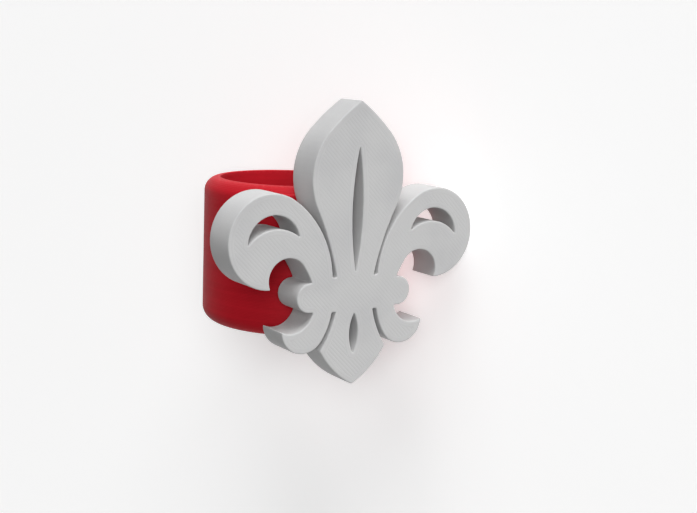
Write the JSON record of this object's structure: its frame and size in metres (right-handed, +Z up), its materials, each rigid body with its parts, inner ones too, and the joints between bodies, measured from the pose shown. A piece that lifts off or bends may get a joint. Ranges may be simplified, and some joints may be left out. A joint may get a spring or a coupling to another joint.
{
  "type": "neckerchief slide",
  "caption": "Neckerchief slide: a round-edged ring with a flat front seat, and a thick pierced lily plate glued to it. It lies on its side.",
  "frame": {"origin": "the middle of the foot of the whole part's box, on the surface that it lies on", "axes": "+X along the ring's bore, towards the emblem's top point; -Y towards the side that the emblem faces; +Z up"},
  "size_m": [0.0376, 0.0352, 0.0366],
  "materials": {
    "ring_plastic": "deep red printed plastic, satin, with fine layer lines round the ring",
    "emblem_plastic": "light grey printed plastic, satin, with fine layer lines round the plate's edge"
  },
  "bodies": {
    "root": {"ring": "ring_plastic", "emblem": "emblem_plastic"}
  },
  "joints": []
}
